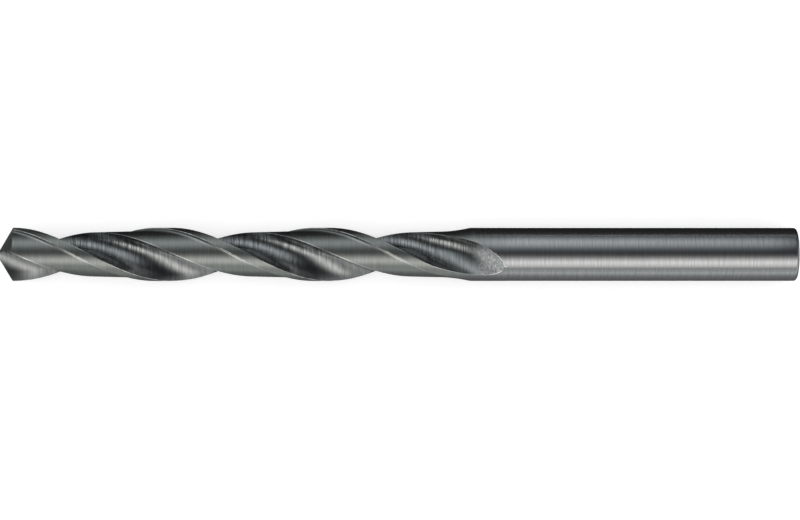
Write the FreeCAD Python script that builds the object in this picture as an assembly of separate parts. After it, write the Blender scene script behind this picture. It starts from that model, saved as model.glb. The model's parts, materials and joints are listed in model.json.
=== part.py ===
"""Twist drill bit, ground from one round bar of high speed steel.

The drill lies along X. The origin is the centre of the shank's flat end, +X points out of that end,
and the point is at -X. Z is up, and the two lips lie along Y.
"""
import FreeCAD, Part
import math
import os

# Whole drill, millimetres
overall_length = 109.0
flute_length = 69.0
drill_diameter = 7.3
shank_diameter = 7.26
shank_edge_radius = 0.45

# Flutes
flute_count = 2
lead = 43.2
web_at_point = 1.1
web_growth = 0.013           # millimetres of web for each millimetre of length
flute_bottom_angle = 55.0    # from a cutting edge back to the deepest line of its flute, degrees
lip_lean = 4.0               # of the lip wall from the radius through its cutting edge, degrees
land_angle = 87.0            # from a cutting edge back to the heel of its land, degrees
level_station = 2.25         # where the first cutting edge is level with +Y, from the point

# Relief ground behind each margin
margin_angle = 20.0
relief_depth_at_margin = 0.42
relief_depth_at_heel = 0.62

# Run-out, where the grinding wheels leave the bar
flute_wheel_radius = 17.0
runout_length = 9.8
runout_lead = 62.0
relief_wheel_radius = 20.0
relief_end_gap = 3.8         # from the end of the relief to the end of the flutes

# Conical point
point_angle = 118.0
grinding_cone_half_angle = 35.0
grinding_apex_distance = 7.0  # from the cone's apex to the drill's axis, along a lip
grinding_offset = 1.6         # of the cone's axis, ahead of the drill's axis

# Lofted cutters
section_turn = 15.0          # turn of the flute from one section to the next, degrees
tool_clearance = 1.0         # cutters and cones run past the bar by this much
overrun_angle = 30.0         # cutters run on past the edges they leave by this much turn

drill_radius = drill_diameter / 2
shank_radius = shank_diameter / 2
lip_angle = math.radians(point_angle / 2)
x_axis = FreeCAD.Vector(1, 0, 0)
shank_end = FreeCAD.Vector(0, 0, 0)


def polar(radius, degrees):
    """A point across the drill, as a pair: along +Y and along +Z at angle 0 and 90."""
    angle = math.radians(degrees)
    return (radius * math.cos(angle), radius * math.sin(angle))


def at_station(station, pair, turn):
    """A point across the drill, turned about the axis and put at a distance from the point."""
    angle = math.radians(turn)
    y = pair[0] * math.cos(angle) - pair[1] * math.sin(angle)
    z = pair[0] * math.sin(angle) + pair[1] * math.cos(angle)
    return FreeCAD.Vector(station - overall_length, y, z)


def helix_turn(station):
    """Angle of the first cutting edge, with the longer lead of the run-out at its end."""
    runout_start = flute_length - runout_length
    helical = 360 * (min(station, runout_start) - level_station) / lead
    return helical + 360 * max(station - runout_start, 0) / runout_lead


def wheel_lift(station, end, depth, wheel_radius):
    """How far a wheel has left its groove, when a groove of this depth ends at this station."""
    arc_length = math.sqrt(2 * wheel_radius * depth - depth ** 2)
    travel = min(max(station - (end - arc_length), 0), wheel_radius)
    return wheel_radius - math.sqrt(wheel_radius ** 2 - travel ** 2)


def web_half(station):
    return (web_at_point + web_growth * max(station, 0)) / 2


def stations(last):
    """Stations of the lofted sections, evenly spaced from ahead of the point to the last one."""
    first = -tool_clearance
    count = math.ceil((last - first) * 360 / lead / section_turn)
    return [first + (last - first) * i / count for i in range(count + 1)]


def arc_through(start, middle, end):
    return Part.Arc(start, middle, end).toShape()


def lip_corner(web, ux, uy):
    """Where the straight lip wall and the flute's bottom would meet if the corner were sharp."""
    lean = math.radians(lip_lean)
    inward = (drill_radius * ux - web) / (math.cos(lean) * ux - math.sin(lean) * uy)
    return drill_radius - inward * math.cos(lean), inward * math.sin(lean)


def heel_arc_shape(web, ux, uy):
    """Radius of the arc that touches the web and passes through the heel, and the heel's angle on it."""
    x, y = polar(drill_radius - relief_depth_at_heel, land_angle - 180)
    along = x * ux + y * uy
    radius = (x ** 2 + y ** 2 + web ** 2 - 2 * web * along) / (2 * (along - web))
    return radius, math.degrees(math.atan2(y - (web + radius) * uy, x - (web + radius) * ux)) % 360


def flute_section(station, turn):
    """Closed outline of the flute cutter: lip wall, bottom arc, heel arc, and two lines clear of the bar."""
    web = web_half(station)
    lift = wheel_lift(station, flute_length, drill_radius - web_half(flute_length), flute_wheel_radius)
    ux, uy = polar(1, -flute_bottom_angle)
    to_web = 180 - flute_bottom_angle

    def placed(x, y):
        return at_station(station, (x + lift * ux, y + lift * uy), turn)

    def on_arc(radius, angle):
        across = polar(radius, angle)
        return placed((web + radius) * ux + across[0], (web + radius) * uy + across[1])

    lip_x, lip_y = polar(1, -lip_lean)
    lip_out = placed(drill_radius + tool_clearance * lip_x, tool_clearance * lip_y)
    corner_x, corner_y = lip_corner(web, ux, uy)
    reach = math.hypot(corner_x - web * ux, corner_y - web * uy)
    lip_foot = placed(corner_x + reach * lip_x, corner_y + reach * lip_y)
    half_turn = (90 - flute_bottom_angle + lip_lean) / 2
    radius = reach / math.tan(math.radians(half_turn))
    deepest = on_arc(radius, to_web)
    bottom_arc = arc_through(lip_foot, on_arc(radius, to_web - half_turn), deepest)

    radius, heel_side = heel_arc_shape(web, ux, uy)
    heel_side += overrun_angle
    heel_out = on_arc(radius, heel_side)
    heel_arc = arc_through(deepest, on_arc(radius, (to_web + heel_side) / 2), heel_out)
    outside = placed(3 * drill_radius * ux, 3 * drill_radius * uy)
    return Part.Wire([
        Part.makeLine(lip_out, lip_foot),
        bottom_arc,
        heel_arc,
        Part.makeLine(heel_out, outside),
        Part.makeLine(outside, lip_out),
    ])


def relief_section(station, turn):
    """Closed outline of the relief cutter: step at the margin, spiral floor and an outline clear of the bar."""
    end = flute_length - relief_end_gap
    lift = wheel_lift(station, end, relief_depth_at_heel, relief_wheel_radius)
    last_angle = land_angle + overrun_angle / 2
    spiral = (relief_depth_at_heel - relief_depth_at_margin) / (land_angle - margin_angle)

    def floor(angle):
        depth = relief_depth_at_margin + spiral * (angle - margin_angle)
        return at_station(station, polar(drill_radius - depth + lift, angle), turn)

    step_top = at_station(station, polar(drill_diameter, margin_angle), turn)
    last_top = at_station(station, polar(drill_diameter, last_angle), turn)
    return Part.Wire([
        Part.makeLine(step_top, floor(margin_angle)),
        arc_through(floor(margin_angle), floor((margin_angle + last_angle) / 2), floor(last_angle)),
        Part.makeLine(floor(last_angle), last_top),
        Part.makeLine(last_top, step_top),
    ])


def helical_cutters(section, last):
    """One lofted cutter for each flute, the others turned from the first."""
    wires = [section(station, helix_turn(station)) for station in stations(last)]
    first = Part.makeLoft(wires, True, False)
    cutters = []
    for i in range(flute_count):
        cutter = first.copy()
        cutter.rotate(shank_end, x_axis, 360 * i / flute_count)
        cutters.append(cutter)
    return cutters


def bar():
    """Ground bar, left long at the point: a cylindrical shank and a fluted length with a little back taper."""
    tip = FreeCAD.Vector(-overall_length - tool_clearance / 2, 0, 0)
    shank_start = FreeCAD.Vector(flute_length - overall_length, 0, 0)
    fluted = Part.makeCone(drill_radius, shank_radius, shank_start.x - tip.x, tip, x_axis)
    shank = Part.makeCylinder(shank_radius, -shank_start.x, shank_start, x_axis)
    end_edge = [edge for edge in shank.Edges if edge.BoundBox.XMin > -shank_edge_radius]
    return fluted.fuse(shank.makeFillet(shank_edge_radius, end_edge))


def cone_height_on_axis(half_angle, tilt):
    """Where the drill's axis leaves the grinding cone, measured from the lip's own line towards the shank."""
    across = grinding_apex_distance * math.sin(lip_angle)
    a = math.cos(tilt) ** 2 - math.cos(half_angle) ** 2
    b = 2 * across * math.sin(tilt) * math.cos(tilt)
    c = (across * math.sin(tilt)) ** 2 - (math.cos(half_angle) ** 2) * (across ** 2 + grinding_offset ** 2)
    height = (-b + math.sqrt(b * b - 4 * a * c)) / (2 * a)
    return height - grinding_apex_distance * math.cos(lip_angle)


def grinding_cone():
    """Cone whose side is the flank behind the first lip; the drill is what lies inside it."""
    half_angle = math.radians(grinding_cone_half_angle)
    tilt = lip_angle - half_angle
    apex = FreeCAD.Vector(
        -overall_length - grinding_apex_distance * math.cos(lip_angle) - cone_height_on_axis(half_angle, tilt),
        -grinding_apex_distance * math.sin(lip_angle),
        -grinding_offset)
    axis = FreeCAD.Vector(math.cos(tilt), math.sin(tilt), 0)
    height = overall_length + drill_diameter + grinding_apex_distance
    return Part.makeCone(0, height * math.tan(half_angle), height, apex, axis)


def drill_bit():
    """Bar with its flutes and relief ground out and its point ground by two cones."""
    drill = bar()
    for cutter in helical_cutters(relief_section, flute_length - relief_end_gap + tool_clearance):
        drill = drill.cut(cutter)
    for cutter in helical_cutters(flute_section, flute_length + tool_clearance):
        drill = drill.cut(cutter)
    for i in range(flute_count):
        cone = grinding_cone()
        cone.rotate(shank_end, x_axis, 360 * i / flute_count)
        drill = drill.common(cone)
    return drill


os.makedirs("parts", exist_ok=True)
shape = drill_bit().Solids[0]
shape.exportStep("parts/drill_bit.step")
print("drill_bit valid", shape.isValid(), "volume", round(shape.Volume, 3), "faces", len(shape.Faces))
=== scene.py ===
import json
import math

import bmesh
import bpy
from mathutils import Matrix, Vector

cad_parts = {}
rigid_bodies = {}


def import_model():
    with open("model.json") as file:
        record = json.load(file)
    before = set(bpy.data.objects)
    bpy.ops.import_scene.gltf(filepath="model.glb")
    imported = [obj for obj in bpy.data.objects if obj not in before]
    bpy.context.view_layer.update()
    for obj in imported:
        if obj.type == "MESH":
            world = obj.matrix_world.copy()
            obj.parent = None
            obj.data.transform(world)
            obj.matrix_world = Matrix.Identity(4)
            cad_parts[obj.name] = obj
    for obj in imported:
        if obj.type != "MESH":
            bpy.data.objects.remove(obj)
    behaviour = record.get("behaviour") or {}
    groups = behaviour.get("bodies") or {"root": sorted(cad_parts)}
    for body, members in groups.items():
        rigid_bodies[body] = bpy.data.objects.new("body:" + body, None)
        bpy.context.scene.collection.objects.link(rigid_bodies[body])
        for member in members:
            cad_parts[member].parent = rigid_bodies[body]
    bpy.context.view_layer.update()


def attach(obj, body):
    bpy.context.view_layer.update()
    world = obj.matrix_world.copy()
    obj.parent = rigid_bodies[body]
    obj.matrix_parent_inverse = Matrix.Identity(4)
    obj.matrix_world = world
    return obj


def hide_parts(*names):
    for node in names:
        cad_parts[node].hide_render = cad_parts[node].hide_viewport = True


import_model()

MM = 0.001

# Sizes of the drill, in millimetres and degrees, as ground
overall_length = 109.0
flute_length = 69.0
point_radius = 3.65
shank_radius = 3.63
shank_edge_radius = 0.45
lead = 43.2
level_station = 2.25            # where the first cutting edge is level with +Y, from the point
web_at_point = 1.1
web_growth = 0.013              # millimetres of web for each millimetre of length
flute_bottom_angle = 55.0       # from a cutting edge back to the deepest line of its flute
lip_lean = 4.0                  # of the lip wall from the radius through its cutting edge
land_angle = 87.0               # from a cutting edge back to the heel of its land
margin_angle = 20.0
relief_depth_at_margin = 0.42
relief_depth_at_heel = 0.62
flute_wheel_radius = 17.0
runout_length = 9.8
runout_lead = 62.0
relief_wheel_radius = 20.0
relief_end_gap = 3.8            # from the end of the relief to the end of the flutes
point_angle = 118.0
cone_half_angle = 35.0
cone_apex_distance = 7.0        # from the grinding cone's apex to the drill's axis, along a lip
cone_offset = 1.6               # of the cone's axis, ahead of the drill's axis

# Small roundings that the wheels and the tumbling leave
edge_rounding = 0.06
foot_rounding = 0.22
rounding_limit = 0.4            # largest share of a wall that one rounding takes

# Walls in their order round a land and the flute behind it, and the finishes in the drill's slots
margin_wall, step_wall, relief_wall, heel_wall, lip_wall, worn_edge = range(6)
bar_steel, flute_steel, flank_steel, edge_steel = range(4)

# How finely the drill is drawn
margin_points = 9
step_points = 3
relief_points = 20
heel_wall_points = 22
lip_wall_points = 34
fluted_ring_gap = 0.32
runout_ring_gap = 0.16
runout_overlap = 1.5            # the closer rings start this far before the run-out
shank_ring_stations = (75.0, 82.0, 90.0, 98.0, 105.0)
shank_edge_steps = 7
blank_overrun = 1.0             # of the blank past the point, before it is ground
point_part_length = 5.0         # grown first, and ground before the rest grows from it
spent_station = 69.5            # where the flutes have left the bar for certain
spent_gap = 0.2                 # past the flutes' end, where every wall is plain shank
seam_jump = 3.0                 # across one face, where the grinding map starts afresh
cone_sides = 720
cone_height = 18.0
smooth_angle = 28.0

# Small values that keep the drawing sound
halvings = 40                   # of the search for the place where a wall comes out
heel_rounds = 8                 # of the search for the heel
shortest_wall = 1e-6            # kept of a wall that has run out
shortest_ring_gap = 0.01
same_spot = 0.002
shortest_edge = 0.0005
hair = 0.0001

# Colours and roughness of the steel, each between two values that follow the marks
shank_colour = (0.385, 0.40, 0.41)
shank_dark = (0.30, 0.315, 0.325)
shank_rough = 0.21
land_colour = (0.28, 0.305, 0.292)
land_dark = (0.21, 0.23, 0.22)
land_rough = 0.33
rough_change = 0.02
# Painted shade: dark colour of the line along each land's step wall
painted_step_shade_colour = (0.08, 0.09, 0.09)
flute_colour = (0.34, 0.362, 0.36)
flute_dark = (0.15, 0.165, 0.168)
flute_rough = (0.20, 0.27)
# Lip side of the flutes, painted a little lighter than the heel side to brighten its reflections
lip_colour = (0.37, 0.385, 0.38)
lip_dark = (0.17, 0.184, 0.19)
flank_colour = (0.30, 0.325, 0.31)
flank_dark = (0.22, 0.24, 0.23)
flank_rough = (0.28, 0.40)
bare_colour = (0.80, 0.84, 0.84)
bare_dark = (0.34, 0.37, 0.37)
# Bright colour of edges rubbed bare, which also stands in for their highlights as painted highlight
edge_colour = (0.86, 0.87, 0.86)

# Depths of the grinding marks, in millimetres, and the values that most of a noise lies between
bar_marks = 0.0025
flute_marks = 0.018
flank_marks = 0.006
scratches_per_metre = (4000.0, 900.0, 4000.0)
noise_range = (0.3, 0.7)

# Lines along the lands, in millimetres from the leading edge: middle and spread, or start and full. The step
# line is painted shade, and the foot and heel lines are painted highlights
painted_step_shade_line = (1.40, 0.08)
# Painted highlights: a bright line at the foot of each step, and a bright strip along each heel
painted_foot_highlight_line = (1.72, 0.11)
painted_heel_highlight_line = (4.95, 5.25)
painted_step_shade_strength = 0.7
painted_foot_highlight_strength = 0.36
painted_heel_highlight_strength = 0.6

# Where the finishes change along the drill, in millimetres from the point: start and end of each change
land_to_shank = (62.0, 70.0)
painted_heel_highlight_fades = (54.0, 60.0)
oxide_to_bare = (64.0, 66.8)
flute_start_fades = (3.0, 9.0)
edge_wear_and_highlight_gap = (64.0, 2.2)     # middle and spread of the stretch without wear and painted highlight

# Studio sizes, in metres
middle = -0.5 * overall_length * MM
floor_level = -point_radius * MM
floor_size = 6.0
floor_glow = 0.45

# Card under the drill: its levels, and its reaches in millimetres
card_size = 0.6
card_lift = 0.02
card_grey = 0.72
card_grey_reach = 24.0
card_dark = 0.10
card_dark_reach = 60.0
card_black = 0.015
card_ahead = 0.10
card_behind = 0.6
card_end = 70.0
card_line = 1.0                 # half the soft line between its grey and its dark side
card_begins = (-0.5, -0.4)      # from the drill's middle, in lengths of the drill

# Panels of light: angle about the drill from overhead, spread, left end, right end, softness, tint, level
panels = (
    (-37.5, 14.5, -34.0, 42.0, 8.0, (1.05, 1.00, 0.96), 1.75),
    (52.5, 18.5, -40.0, 12.0, 11.0, (0.98, 1.00, 1.02), 1.00),
    (-92.0, 18.0, -60.0, 60.0, 10.0, (0.98, 1.00, 0.98), 0.85),
)
room_colour = (0.018, 0.022, 0.027)
end_glow = 0.5
end_glow_start = 41.0
end_glow_full = 54.0

# Camera, straight above the drill
pixel = 0.13655 * MM            # of the photograph, at the drill
camera_height = 2670 * pixel
view_width = 800 * pixel
camera_along = -overall_length * MM + 402.1 * pixel
camera_side = -5.6 * pixel


# Shape of the ground section

def polar(radius, degrees):
    angle = math.radians(degrees)
    return Vector((radius * math.cos(angle), radius * math.sin(angle)))


def turned(across, degrees):
    return Matrix.Rotation(math.radians(degrees), 2) @ across


def angle_of(across):
    return math.degrees(math.atan2(across.y, across.x))


def wheel_lift(station, end, depth, wheel_radius):
    """How far a wheel has left its groove, when a groove of this depth ends at this station."""
    arc_length = math.sqrt(2 * wheel_radius * depth - depth ** 2)
    travel = min(max(station - (end - arc_length), 0), wheel_radius)
    return wheel_radius - math.sqrt(wheel_radius ** 2 - travel ** 2)


def web_half(station):
    return (web_at_point + web_growth * max(station, 0)) / 2


def bar_radius(station):
    share = min(max(station / flute_length, 0), 1)
    return point_radius + (shank_radius - point_radius) * share


def edge_turn(station):
    """Angle of the first cutting edge, with the longer lead of the run-out at its end."""
    runout_start = flute_length - runout_length
    helical = 360 * (min(station, runout_start) - level_station) / lead
    return helical + 360 * max(station - runout_start, 0) / runout_lead


def relief_radius(station, angle):
    spiral = (relief_depth_at_heel - relief_depth_at_margin) / (land_angle - margin_angle)
    depth = relief_depth_at_margin + spiral * (angle - margin_angle)
    lift = wheel_lift(station, flute_length - relief_end_gap, relief_depth_at_heel, relief_wheel_radius)
    return min(point_radius - depth + lift, bar_radius(station))


def heel_arc_radius(web):
    """Radius of the arc that touches the web at the flute's bottom and passes through the heel."""
    heel = polar(point_radius - relief_depth_at_heel, land_angle - 180)
    along = heel.dot(polar(1, -flute_bottom_angle))
    return (heel.length_squared + web ** 2 - 2 * web * along) / (2 * (along - web))


def lip_arc_shape(web):
    """Turn of the arc between the flute's bottom and the straight lip wall, and the arc's radius."""
    out = polar(1, -flute_bottom_angle)
    inward = polar(1, 180 - lip_lean)
    corner = Vector((point_radius, 0)) + inward * (web - point_radius * out.x) / inward.dot(out)
    arc_turn = 90 - flute_bottom_angle + lip_lean
    reach = (corner - out * web).length
    return arc_turn, reach / math.tan(math.radians(arc_turn / 2))


def on_flute_arc(bottom, radius, swing):
    """Point of an arc that touches the flute's bottom, by its angle from there about the arc's centre."""
    spoke = turned(Vector((-radius, 0)), swing)
    return turned(Vector((bottom + radius, 0)) + spoke, -flute_bottom_angle)


def flute_walls(station):
    """Heel wall and lip wall of the first flute, each giving points by their distance from its bottom."""
    web = web_half(station)
    full_depth = shank_radius - web_half(flute_length)
    lift = wheel_lift(station, flute_length, full_depth, flute_wheel_radius)
    bottom = min(web + lift, bar_radius(station))
    heel_radius = heel_arc_radius(web)
    arc_turn, lip_radius = lip_arc_shape(web)

    def on_heel_wall(distance):
        return on_flute_arc(bottom, heel_radius, math.degrees(distance / heel_radius))

    def on_lip_wall(distance):
        swing = math.degrees(distance / lip_radius)
        if swing < arc_turn:
            return on_flute_arc(bottom, lip_radius, -swing)
        straight = distance - lip_radius * math.radians(arc_turn)
        return on_flute_arc(bottom, lip_radius, -arc_turn) + polar(straight, -lip_lean)

    return on_heel_wall, on_lip_wall


def distance_to(point_at, outer_radius):
    """Distance along a flute's wall at which it comes out through a radius."""
    near, far = 0.0, 1.5 * point_radius
    for _ in range(halvings):
        middle_way = (near + far) / 2
        if point_at(middle_way).length < outer_radius:
            near = middle_way
        else:
            far = middle_way
    return near


def heel_of(station, on_heel_wall):
    """Angle of the heel behind the land, where the heel wall meets the relief, and the wall's length."""
    angle = land_angle
    for _ in range(heel_rounds):
        length = distance_to(on_heel_wall, relief_radius(station, angle))
        angle = angle_of(-on_heel_wall(length))
    return angle, length


def land_walls(station):
    """The walls round a land and its flute: curve by share, points, rounding at each end, length."""
    bar = bar_radius(station)
    foot = relief_radius(station, margin_angle)
    on_heel_wall, on_lip_wall = flute_walls(station)
    lip_length = distance_to(on_lip_wall, bar)
    edge_angle = angle_of(on_lip_wall(lip_length))
    heel_angle, heel_length = heel_of(station, on_heel_wall)

    def margin(share):
        return polar(bar, edge_angle + (margin_angle - edge_angle) * share)

    def step(share):
        return polar(bar + (foot - bar) * share, margin_angle)

    def relief(share):
        angle = margin_angle + (heel_angle - margin_angle) * share
        return polar(relief_radius(station, angle), angle)

    def heel(share):
        return -on_heel_wall(heel_length * (1 - share))

    def lip(share):
        return -on_lip_wall(lip_length * share)

    return [
        (margin, margin_points, edge_rounding, edge_rounding, bar * math.radians(margin_angle - edge_angle)),
        (step, step_points, edge_rounding, foot_rounding, bar - foot),
        (relief, relief_points, foot_rounding, edge_rounding, bar * math.radians(heel_angle - margin_angle)),
        (heel, heel_wall_points, edge_rounding, 0, heel_length),
        (lip, lip_wall_points, 0, edge_rounding, lip_length),
    ]


def between_roundings(curve, count, before, after, length):
    """Points of a wall, with the roundings at its two ends left out."""
    length = max(length, shortest_wall)
    low = min(before / length, rounding_limit)
    high = 1 - min(after / length, rounding_limit)
    return [curve(low + (high - low) * i / (count - 1)) for i in range(count)]


def round_corner(here, corner, after):
    return [here * (1 - t) ** 2 + corner * 2 * t * (1 - t) + after * t ** 2 for t in (0.25, 0.5, 0.75)]


def land_outline(station):
    """One land and the flute behind it, across the drill: points, each with the number of its wall."""
    walls = land_walls(station)
    runs = [between_roundings(*wall) for wall in walls]
    del runs[lip_wall][0]       # the flute's deepest point, which the heel wall ends with
    starts = [(run[0], wall[0](0)) for run, wall in zip(runs, walls)]
    starts.append((-starts[0][0], -starts[0][1]))
    outline = []
    for number, run in enumerate(runs):
        outline += [(point, number) for point in run]
        if number == heel_wall:
            continue
        after, corner = starts[number + 1]
        edge = step_wall if number == step_wall else worn_edge
        outline += [(point, edge) for point in round_corner(run[-1], corner, after)]
    return outline


def ring(station):
    """The whole section at a station, in the drill's frame, with each point's wall and its way across."""
    turn = edge_turn(station)
    half = land_outline(station)
    reached = [0.0]
    for (last, _), (point, _) in zip(half, half[1:]):
        reached.append(reached[-1] + (point - last).length)
    in_flute = [distance for distance, (_, wall) in zip(reached, half) if wall == heel_wall]
    heel_start = in_flute[0] - 0.5 * edge_rounding
    deepest = in_flute[-1]
    placed = []
    for flip in (0, 180):
        for (point, wall), distance in zip(half, reached):
            y, z = turned(point, turn + flip)
            across = distance - deepest if distance > heel_start else distance
            placed.append((Vector((station - overall_length, y, z)) * MM, wall, across))
    return placed


def fluted_rings(first, last):
    """Rings from one station to another, closer together in the run-out."""
    stations = [first]
    while stations[-1] < last - shortest_ring_gap:
        in_runout = stations[-1] > flute_length - runout_length - runout_overlap
        gap = runout_ring_gap if in_runout else fluted_ring_gap
        stations.append(min(stations[-1] + gap, last))
    return [(station, ring(station)) for station in stations]


def shank_rings(first):
    """Rings down the plain shank and round its end edge, in line with the last fluted ring."""
    base = ring(first)
    places = [(station, 1.0) for station in shank_ring_stations]
    for i in range(shank_edge_steps + 1):
        swing = math.pi / 2 * i / shank_edge_steps
        station = overall_length - shank_edge_radius * (1 - math.sin(swing))
        places.append((station, 1 - shank_edge_radius * (1 - math.cos(swing)) / shank_radius))
    rings = []
    for station, share in places:
        x = (station - overall_length) * MM
        points = [(Vector((x, place.y * share, place.z * share)), wall, across)
                  for place, wall, across in base]
        rings.append((station, points))
    return rings


# Modelling

def deselect_all():
    for thing in bpy.context.view_layer.objects:
        thing.select_set(False)


def only(thing):
    deselect_all()
    thing.select_set(True)
    bpy.context.view_layer.objects.active = thing


def blank_disc(points):
    """Flat end of the bar, already with the section's outline."""
    deselect_all()
    bpy.ops.mesh.primitive_circle_add(vertices=len(points), radius=point_radius * MM, fill_type="NGON")
    disc = bpy.context.object
    disc.name = "drill_bit_ground"
    for corner, (place, _, _) in zip(disc.data.vertices, points):
        corner.co = place
    return disc


def places_kept(bm):
    """Layers in which each vertex keeps its way across, its station and its wall."""
    floats = bm.verts.layers.float
    numbers = bm.verts.layers.int
    across_of = floats.get("across") or floats.new("across")
    station_of = floats.get("station") or floats.new("station")
    wall_of = numbers.get("wall") or numbers.new("wall")
    return across_of, station_of, wall_of


def end_face(bm, points):
    """The flat face on the shank's side, with the number of the ring's point at each of its corners."""
    flat = [face for face in bm.faces if len(face.verts) == len(points)]
    end = max(flat, key=lambda face: face.calc_center_median().x)
    order = [min(range(len(points)), key=lambda i: (points[i][0] - corner.vert.co).length_squared)
             for corner in end.loops]
    if len(set(order)) != len(points):
        raise ValueError("the end face doesn't match its ring")
    return end, order


def shape_end(bm, end, order, station, points):
    across_of, station_of, wall_of = places_kept(bm)
    for corner, number in zip(end.loops, order):
        place, wall, across = points[number]
        corner.vert.co = place
        corner.vert[across_of] = across
        corner.vert[station_of] = station
        corner.vert[wall_of] = wall


def steel_of(walls, station):
    """Slot of a face's finish, by the walls of its corners and its station."""
    if station > flute_length + spent_gap:
        return bar_steel
    if max(walls) == worn_edge:
        return edge_steel
    return flute_steel if min(walls) >= heel_wall else bar_steel


def map_walls(bm, start):
    """Puts the grinding map and the finish on the walls that lie beyond a place along X."""
    across_of, station_of, wall_of = places_kept(bm)
    grind = bm.loops.layers.uv["grind"]
    for face in bm.faces:
        if len(face.verts) != 4 or min(vert.co.x for vert in face.verts) < start:
            continue
        widest = max(vert[across_of] for vert in face.verts)
        for corner in face.loops:
            across = corner.vert[across_of]
            if widest - across > seam_jump:
                across = widest
            corner[grind].uv = (across, corner.vert[station_of])
        walls = [vert[wall_of] for vert in face.verts]
        face.material_index = steel_of(walls, min(vert[station_of] for vert in face.verts))


def extrude_rings(drill, rings):
    """Extrudes the end face on the shank's side from ring to ring, and maps the walls that grow from it."""
    mesh = drill.data
    only(drill)
    bpy.ops.object.mode_set(mode="EDIT")
    bpy.ops.mesh.select_mode(type="FACE")
    bpy.ops.mesh.select_all(action="DESELECT")
    bm = bmesh.from_edit_mesh(mesh)
    places_kept(bm)
    if not bm.loops.layers.uv.get("grind"):
        bm.loops.layers.uv.new("grind")
    station, points = rings[0]
    end, order = end_face(bm, points)
    shape_end(bm, end, order, station, points)
    end.select_set(True)
    bmesh.update_edit_mesh(mesh)
    for station, points in rings[1:]:
        bpy.ops.mesh.extrude_region_move()
        bm = bmesh.from_edit_mesh(mesh)
        bm.faces.ensure_lookup_table()
        end = next(bm.faces[i] for i in range(len(bm.faces) - 1, -1, -1) if bm.faces[i].select)
        shape_end(bm, end, order, station, points)
    first_place = rings[0][1][0][0]
    map_walls(bm, first_place.x - hair * MM)
    bmesh.update_edit_mesh(mesh)
    bpy.ops.object.mode_set(mode="OBJECT")


def grinding_cone(turn):
    """Cone that the point is ground to on one side: what lies inside it is left standing."""
    lip_angle = math.radians(point_angle / 2)
    half = math.radians(cone_half_angle)
    tilt = lip_angle - half
    across = cone_apex_distance * math.sin(lip_angle)
    a = math.cos(tilt) ** 2 - math.cos(half) ** 2
    b = 2 * across * math.sin(tilt) * math.cos(tilt)
    c = (across * math.sin(tilt)) ** 2 - math.cos(half) ** 2 * (across ** 2 + cone_offset ** 2)
    on_axis = (-b + math.sqrt(b * b - 4 * a * c)) / (2 * a)
    spin = Matrix.Rotation(math.radians(turn), 3, "X")
    apex = spin @ Vector((-overall_length - on_axis, -across, -cone_offset)) * MM
    way = spin @ Vector((math.cos(tilt), math.sin(tilt), 0))
    height = cone_height * MM
    deselect_all()
    bpy.ops.mesh.primitive_cone_add(vertices=cone_sides, radius1=height * math.tan(half), radius2=0,
                                    depth=height, location=apex + way * height / 2,
                                    rotation=(-way).to_track_quat("Z", "Y").to_euler())
    return bpy.context.object


def grind_point(drill, flank):
    """Leaves only what lies inside both cones, whose sides are the two flanks."""
    for turn in (0, 180):
        cone = grinding_cone(turn)
        cone.data.materials.append(flank)
        cut = drill.modifiers.new("point grinding", "BOOLEAN")
        cut.operation = "INTERSECT"
        cut.solver = "EXACT"
        cut.object = cone
        cut.material_mode = "TRANSFER"
        only(drill)
        bpy.ops.object.modifier_apply(modifier=cut.name)
        bpy.data.objects.remove(cone)


def close_spent_flutes(drill):
    """Joins the corners that the flutes leave on one spot where they end."""
    only(drill)
    bpy.ops.object.mode_set(mode="EDIT")
    bpy.ops.mesh.select_all(action="SELECT")
    bpy.ops.mesh.remove_doubles(threshold=same_spot * MM)
    bpy.ops.mesh.dissolve_degenerate(threshold=shortest_edge * MM)
    bpy.ops.mesh.normals_make_consistent(inside=False)
    bpy.ops.object.mode_set(mode="OBJECT")
    bpy.ops.object.shade_smooth_by_angle(angle=math.radians(smooth_angle))


def make_drill():
    """The point's end is extruded and ground first, then the flutes, run-out and shank grow from it."""
    finishes = [bar_finish(), flute_finish(), flank_finish(), edge_finish()]
    point_rings = fluted_rings(-blank_overrun, point_part_length)
    drill = blank_disc(point_rings[0][1])
    for finish in finishes:
        drill.data.materials.append(finish)
    extrude_rings(drill, point_rings)
    grind_point(drill, finishes[flank_steel])
    extrude_rings(drill, fluted_rings(point_part_length, spent_station) + shank_rings(spent_station))
    close_spent_flutes(drill)
    return drill


# Numbers and colours in the finishes

def combine(tree, operation, first, second):
    node = tree.nodes.new("ShaderNodeMath")
    node.operation = operation
    for socket, value in zip(node.inputs, (first, second)):
        if isinstance(value, (int, float)):
            socket.default_value = value
        else:
            tree.links.new(value, socket)
    return node.outputs["Value"]


def product(tree, first, *others):
    for other in others:
        first = combine(tree, "MULTIPLY", first, other)
    return first


def blend(tree, *parts):
    """Sum of patterns, each given with its weight."""
    total = None
    for pattern, weight in parts:
        part = pattern if weight == 1 else product(tree, pattern, weight)
        total = combine(tree, "ADD", total, part) if total else part
    return total


def opposite(tree, value):
    return combine(tree, "SUBTRACT", 1.0, value)


def remap(tree, value, low, high, new_low, new_high):
    change = tree.nodes.new("ShaderNodeMapRange")
    change.inputs["From Min"].default_value = low
    change.inputs["From Max"].default_value = high
    change.inputs["To Min"].default_value = new_low
    change.inputs["To Max"].default_value = new_high
    tree.links.new(value, change.inputs["Value"])
    return change.outputs["Result"]


def soft_step(tree, value, low, high):
    step = tree.nodes.new("ShaderNodeMapRange")
    step.interpolation_type = "SMOOTHSTEP"
    step.inputs["From Min"].default_value = low
    step.inputs["From Max"].default_value = high
    tree.links.new(value, step.inputs["Value"])
    return step.outputs["Result"]


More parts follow.
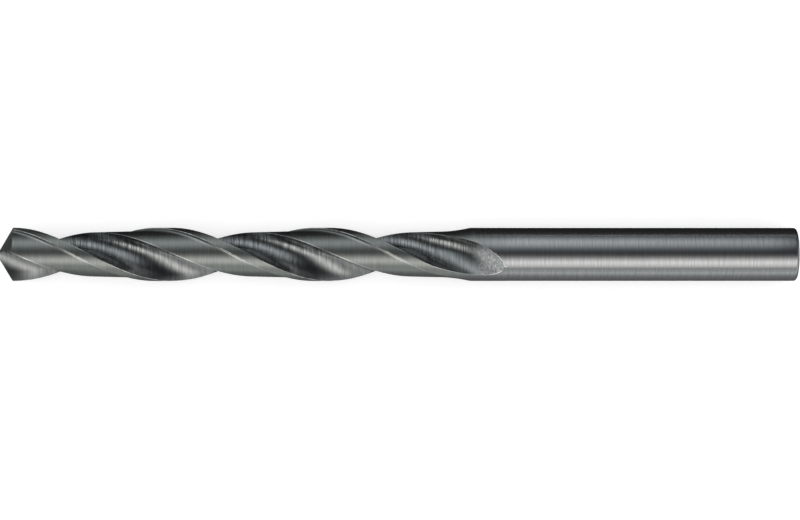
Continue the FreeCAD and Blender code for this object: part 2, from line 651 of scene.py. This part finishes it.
def bell(tree, value, middle_value, spread):
    """One at the middle value, falling away softly on both sides."""
    away = combine(tree, "DIVIDE", combine(tree, "SUBTRACT", value, middle_value), spread)
    return combine(tree, "EXPONENT", product(tree, away, away, -0.5), 0)


def blend_colours(tree, share, first, second):
    mix = tree.nodes.new("ShaderNodeMix")
    mix.data_type = "RGBA"
    for name, colour in (("A", first), ("B", second)):
        socket = next(socket for socket in mix.inputs if socket.identifier == name + "_Color")
        if isinstance(colour, tuple):
            socket.default_value = (*colour, 1.0)
        else:
            tree.links.new(colour, socket)
    tree.links.new(share, mix.inputs["Factor"])
    return next(socket for socket in mix.outputs if socket.identifier == "Result_Color")


def noise(tree, vector, detail, roughness=0.55, distortion=0.0):
    texture = tree.nodes.new("ShaderNodeTexNoise")
    texture.inputs["Scale"].default_value = 1.0
    texture.inputs["Detail"].default_value = detail
    texture.inputs["Roughness"].default_value = roughness
    texture.inputs["Distortion"].default_value = distortion
    tree.links.new(vector, texture.inputs["Vector"])
    return texture.outputs["Fac"]


def stretched(tree, vector, scale):
    stretch = tree.nodes.new("ShaderNodeMapping")
    stretch.inputs["Scale"].default_value = scale
    tree.links.new(vector, stretch.inputs["Vector"])
    return stretch.outputs["Vector"]


def grinding_map(tree):
    """Map of the walls: millimetres across a wall, and millimetres from the point."""
    source = tree.nodes.new("ShaderNodeUVMap")
    source.uv_map = "grind"
    return source.outputs["UV"]


def marks_across(tree, across_scale, along_scale, *noise_values):
    """Noise on the grinding map, by its cycles per millimetre across a wall and along the drill."""
    vector = stretched(tree, grinding_map(tree), (across_scale, along_scale, 1.0))
    return noise(tree, vector, *noise_values)


def map_places(tree):
    """Distance across a wall and distance from the point, read off the grinding map."""
    split = tree.nodes.new("ShaderNodeSeparateXYZ")
    tree.links.new(grinding_map(tree), split.inputs["Vector"])
    return split.outputs["X"], split.outputs["Y"]


# Finishes of the steel

def new_steel(name, colour, roughness):
    """A metal finish, with its node tree and its shader."""
    finish = bpy.data.materials.new(name)
    finish.use_nodes = True
    tree = finish.node_tree
    shader = tree.nodes["Principled BSDF"]
    shader.inputs["Metallic"].default_value = 1.0
    shader.inputs["Base Color"].default_value = (*colour, 1.0)
    shader.inputs["Roughness"].default_value = roughness
    return finish, tree, shader


def raise_surface(tree, shader, height, depth):
    bump = tree.nodes.new("ShaderNodeBump")
    bump.inputs["Strength"].default_value = 1.0
    bump.inputs["Distance"].default_value = depth * MM
    tree.links.new(height, bump.inputs["Height"])
    tree.links.new(bump.outputs["Normal"], shader.inputs["Normal"])


def bar_finish():
    """Dark oxide on the lands, with painted shade along each step wall and painted highlights at its foot
    and along the heel, and smoother steel on the shank.
    """
    finish, tree, shader = new_steel("oxidised steel, cylindrically ground", shank_colour, 0.27)
    across, station = map_places(tree)
    fine = marks_across(tree, 0.35, 4.5, 3.0)
    grain = marks_across(tree, 3.0, 7.0, 2.0)
    raise_surface(tree, shader, blend(tree, (fine, 0.6), (grain, 0.4)), bar_marks)
    on_shank = remap(tree, station, *land_to_shank, 0.0, 1.0)
    fluted = opposite(tree, on_shank)
    rough = remap(tree, grain, *noise_range, land_rough - rough_change, land_rough + rough_change)
    rough = blend(tree, (rough, 1), (on_shank, shank_rough - land_rough))
    tree.links.new(rough, shader.inputs["Roughness"])

    tone = remap(tree, fine, *noise_range, 0.0, 1.0)
    shank = blend_colours(tree, tone, shank_dark, shank_colour)
    land = blend_colours(tree, tone, land_dark, land_colour)
    ground = blend_colours(tree, on_shank, land, shank)
    # Painted shade: a dark line along each land's step wall, where the step shades itself
    corner = product(tree, bell(tree, across, *painted_step_shade_line), fluted, painted_step_shade_strength)
    ground = blend_colours(tree, corner, ground, painted_step_shade_colour)
    # Painted highlights: a bright strip along the heel that fades towards the shank, and a bright line at
    # the foot of the step, in the bright edges' colour
    unfaded = opposite(tree, soft_step(tree, station, *painted_heel_highlight_fades))
    painted_heel_highlight = product(tree, soft_step(tree, across, *painted_heel_highlight_line), unfaded)
    painted_foot_highlight = bell(tree, across, *painted_foot_highlight_line)
    painted_highlights = product(tree, blend(tree, (painted_foot_highlight, painted_foot_highlight_strength), (painted_heel_highlight, painted_heel_highlight_strength)), fluted)
    tree.links.new(blend_colours(tree, painted_highlights, ground, edge_colour), shader.inputs["Base Color"])
    return finish


def flute_finish():
    """Flute walls with dark oxide, the lip side painted lighter, comb marks across the heel side and bare
    steel where the wheel leaves.
    """
    finish, tree, shader = new_steel("oxidised steel, wheel ground flute", flute_colour, 0.24)
    across, station = map_places(tree)
    marks = marks_across(tree, 0.45, 3.2, 3.0, 0.6, 0.3)
    comb = marks_across(tree, 0.35, 4.4, 1.0, 0.4, 0.15)
    fine = marks_across(tree, 0.9, 9.0, 2.0)
    grain = marks_across(tree, 2.4, 3.6, 3.0, 0.7)
    patches = remap(tree, marks_across(tree, 0.12, 0.08, 1.0), 0.4, 0.62, 0.25, 1.0)
    heel_side = remap(tree, across, 0.2, -0.8, 0.25, 1.0)
    lip_side = soft_step(tree, across, 0.3, 1.6)
    leaving = soft_step(tree, station, *oxide_to_bare)
    height = blend(tree, (product(tree, marks, patches), 1), (product(tree, comb, heel_side), 1.6),
                   (fine, 0.25), (product(tree, grain, leaving), 1.2))
    raise_surface(tree, shader, height, flute_marks)
    near_point = opposite(tree, soft_step(tree, station, *flute_start_fades))
    rough = remap(tree, fine, *noise_range, *flute_rough)
    rough = blend(tree, (rough, 1), (leaving, 0.25), (near_point, 0.08))
    tree.links.new(rough, shader.inputs["Roughness"])

    marks_tone = product(tree, remap(tree, marks, *noise_range, -0.5, 0.5), patches)
    comb_tone = product(tree, remap(tree, comb, 0.35, 0.65, -0.5, 0.5), heel_side)
    tone = combine(tree, "ADD", blend(tree, (marks_tone, 1), (comb_tone, 1)), 0.5)
    heel_oxide = blend_colours(tree, tone, flute_dark, flute_colour)
    lip_oxide_painted_lighter = blend_colours(tree, tone, lip_dark, lip_colour)
    # The lip side is painted lighter than the heel side, for brighter reflections there
    oxide = blend_colours(tree, lip_side, heel_oxide, lip_oxide_painted_lighter)
    bare = blend_colours(tree, remap(tree, grain, 0.35, 0.65, 0.0, 1.0), bare_dark, bare_colour)
    tree.links.new(blend_colours(tree, leaving, oxide, bare), shader.inputs["Base Color"])
    return finish


def flank_finish():
    """Flanks of the point, with scratches along the wheel's way."""
    finish, tree, shader = new_steel("oxidised steel, point ground", flank_colour, 0.3)
    place = tree.nodes.new("ShaderNodeTexCoord").outputs["Object"]
    scratches = noise(tree, stretched(tree, place, scratches_per_metre), 2.0)
    raise_surface(tree, shader, scratches, flank_marks)
    tree.links.new(remap(tree, scratches, *noise_range, *flank_rough), shader.inputs["Roughness"])
    tone = remap(tree, scratches, *noise_range, 0.0, 1.0)
    tree.links.new(blend_colours(tree, tone, flank_dark, flank_colour), shader.inputs["Base Color"])
    return finish


def edge_finish():
    """Edges rubbed bare in short lengths, and painted bright as a painted highlight along them."""
    finish, tree, shader = new_steel("steel, rubbed bare and painted bright", edge_colour, 0.25)
    rubbed = remap(tree, marks_across(tree, 0.5, 1.1, 2.0), 0.35, 0.55, 0.0, 1.0)
    station = map_places(tree)[1]
    kept = opposite(tree, bell(tree, station, *edge_wear_and_highlight_gap))
    # The rubbed lengths take the bright colour: partly bare steel, partly a painted highlight along the edge
    tone = product(tree, rubbed, kept)
    tree.links.new(blend_colours(tree, tone, land_colour, edge_colour), shader.inputs["Base Color"])
    return finish


# Studio

def white_light(tree):
    light = tree.nodes.new("ShaderNodeEmission")
    light.inputs["Color"].default_value = (1.0, 1.0, 1.0, 1.0)
    return light


def stage_sheet(name, stuff, size, level):
    """A flat sheet under the drill, with the empty node tree of its own finish."""
    deselect_all()
    bpy.ops.mesh.primitive_plane_add(size=size, location=(middle, 0, level))
    sheet = bpy.context.object
    sheet.name = name
    finish = bpy.data.materials.new(stuff)
    finish.use_nodes = True
    finish.node_tree.nodes.clear()
    sheet.data.materials.append(finish)
    return sheet, finish.node_tree


def rising(tree, distance, reach, level):
    """A level that is nothing at the drill and is reached some way off."""
    falling = combine(tree, "EXPONENT", product(tree, distance, -1 / (reach * MM)), 0)
    return product(tree, opposite(tree, falling), level)


def card_level(tree):
    """Brightness of the card: grey on the near side, dark on the far side, and a level for each end."""
    place = tree.nodes.new("ShaderNodeTexCoord").outputs["Object"]
    split = tree.nodes.new("ShaderNodeSeparateXYZ")
    tree.links.new(place, split.inputs["Vector"])
    along = split.outputs["X"]
    away = combine(tree, "ABSOLUTE", split.outputs["Y"], 0)
    far_side = soft_step(tree, split.outputs["Y"], -card_line * MM, card_line * MM)
    grey = product(tree, rising(tree, away, card_grey_reach, card_grey), opposite(tree, far_side))
    dark = product(tree, rising(tree, away, card_dark_reach, card_dark), far_side)
    begins, full = (share * overall_length * MM for share in card_begins)
    beside = soft_step(tree, along, begins, full)
    behind = soft_step(tree, along, card_end * MM, 2 * card_end * MM)
    level = product(tree, blend(tree, (dark, 1), (grey, 1)), beside)
    level = blend(tree, (level, 1), (opposite(tree, beside), card_ahead), (behind, card_behind))
    return combine(tree, "ADD", level, card_black)


def graduated_card():
    """Card that the drill lies on, seen only in its reflections."""
    card, tree = stage_sheet("graduated card", "graduated card", card_size, floor_level + card_lift * MM)
    light = white_light(tree)
    tree.links.new(card_level(tree), light.inputs["Strength"])
    output = tree.nodes.new("ShaderNodeOutputMaterial")
    tree.links.new(light.outputs["Emission"], output.inputs["Surface"])
    card.visible_camera = False
    card.visible_diffuse = False
    card.visible_shadow = False
    card.visible_transmission = False


def pale_floor():
    """Paper that glows in part, so that it is white and keeps the drill's shadow."""
    tree = stage_sheet("pale floor", "pale paper", floor_size, floor_level)[1]
    paper = tree.nodes.new("ShaderNodeBsdfDiffuse")
    paper.inputs["Color"].default_value = (0.8, 0.8, 0.8, 1.0)
    rays = tree.nodes.new("ShaderNodeLightPath")
    seen = combine(tree, "MAXIMUM", rays.outputs["Is Camera Ray"], rays.outputs["Is Glossy Ray"])
    seen = combine(tree, "MAXIMUM", seen, rays.outputs["Is Transmission Ray"])
    light = white_light(tree)
    tree.links.new(product(tree, seen, floor_glow), light.inputs["Strength"])
    both = tree.nodes.new("ShaderNodeAddShader")
    tree.links.new(paper.outputs["BSDF"], both.inputs[0])
    tree.links.new(light.outputs["Emission"], both.inputs[1])
    output = tree.nodes.new("ShaderNodeOutputMaterial")
    tree.links.new(both.outputs["Shader"], output.inputs["Surface"])


def tinted(tree, strength, colour):
    tint = tree.nodes.new("ShaderNodeVectorMath")
    tint.operation = "SCALE"
    tint.inputs[0].default_value = colour
    tree.links.new(strength, tint.inputs["Scale"])
    return tint.outputs["Vector"]


def add_colours(tree, first, second):
    total = tree.nodes.new("ShaderNodeVectorMath")
    total.operation = "ADD"
    tree.links.new(first, total.inputs[0])
    tree.links.new(second, total.inputs[1])
    return total.outputs["Vector"]


def panel_light(tree, around, along, panel):
    """Light of one soft panel, by the angle about the drill and the angle along it."""
    angle, spread, left_end, right_end, softness, colour, strength = panel
    from_left = soft_step(tree, along, left_end - softness, left_end + softness)
    past_right = soft_step(tree, along, right_end - softness, right_end + softness)
    ends = product(tree, from_left, opposite(tree, past_right))
    return tinted(tree, product(tree, bell(tree, around, angle, spread), ends, strength), colour)


def room_light(tree):
    """Three panels and a glow beyond the drill's ends, in a dim room."""
    split = tree.nodes.new("ShaderNodeSeparateXYZ")
    tree.links.new(tree.nodes.new("ShaderNodeTexCoord").outputs["Generated"], split.inputs["Vector"])
    around = combine(tree, "ARCTAN2", split.outputs["Y"], split.outputs["Z"])
    around = product(tree, around, math.degrees(1))
    along = product(tree, combine(tree, "ARCSINE", split.outputs["X"], 0), math.degrees(1))
    dim = tree.nodes.new("ShaderNodeRGB")
    dim.outputs["Color"].default_value = (*room_colour, 1.0)
    total = dim.outputs["Color"]
    for panel in panels:
        total = add_colours(tree, total, panel_light(tree, around, along, panel))
    sideways = combine(tree, "ABSOLUTE", along, 0)
    beyond = product(tree, soft_step(tree, sideways, end_glow_start, end_glow_full), end_glow)
    return add_colours(tree, total, tinted(tree, beyond, (1.0, 1.0, 1.0)))


def studio_world():
    """White for the camera and for the floor's paper, and a room with panels for the steel."""
    world = bpy.data.worlds.new("studio")
    bpy.context.scene.world = world
    world.use_nodes = True
    tree = world.node_tree
    tree.nodes.clear()
    room = tree.nodes.new("ShaderNodeBackground")
    tree.links.new(room_light(tree), room.inputs["Color"])
    white = tree.nodes.new("ShaderNodeBackground")
    white.inputs["Color"].default_value = (1.0, 1.0, 1.0, 1.0)
    rays = tree.nodes.new("ShaderNodeLightPath")
    in_white = combine(tree, "MAXIMUM", rays.outputs["Is Camera Ray"], rays.outputs["Is Diffuse Ray"])
    mix = tree.nodes.new("ShaderNodeMixShader")
    tree.links.new(in_white, mix.inputs["Fac"])
    tree.links.new(room.outputs["Background"], mix.inputs[1])
    tree.links.new(white.outputs["Background"], mix.inputs[2])
    output = tree.nodes.new("ShaderNodeOutputWorld")
    tree.links.new(mix.outputs["Shader"], output.inputs["Surface"])


def place_camera():
    bpy.context.scene.view_settings.view_transform = "Standard"
    camera_data = bpy.data.cameras.new("camera")
    camera_data.sensor_width = 36.0
    camera_data.lens = camera_data.sensor_width * camera_height / view_width
    camera_data.clip_start = 0.01
    camera_data.clip_end = 100.0
    camera = bpy.data.objects.new("camera", camera_data)
    camera.location = (camera_along, camera_side, camera_height)
    bpy.context.scene.collection.objects.link(camera)
    bpy.context.scene.camera = camera


drill = make_drill()
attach(drill, "root")
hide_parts("drill_bit")

graduated_card()
pale_floor()
studio_world()
place_camera()
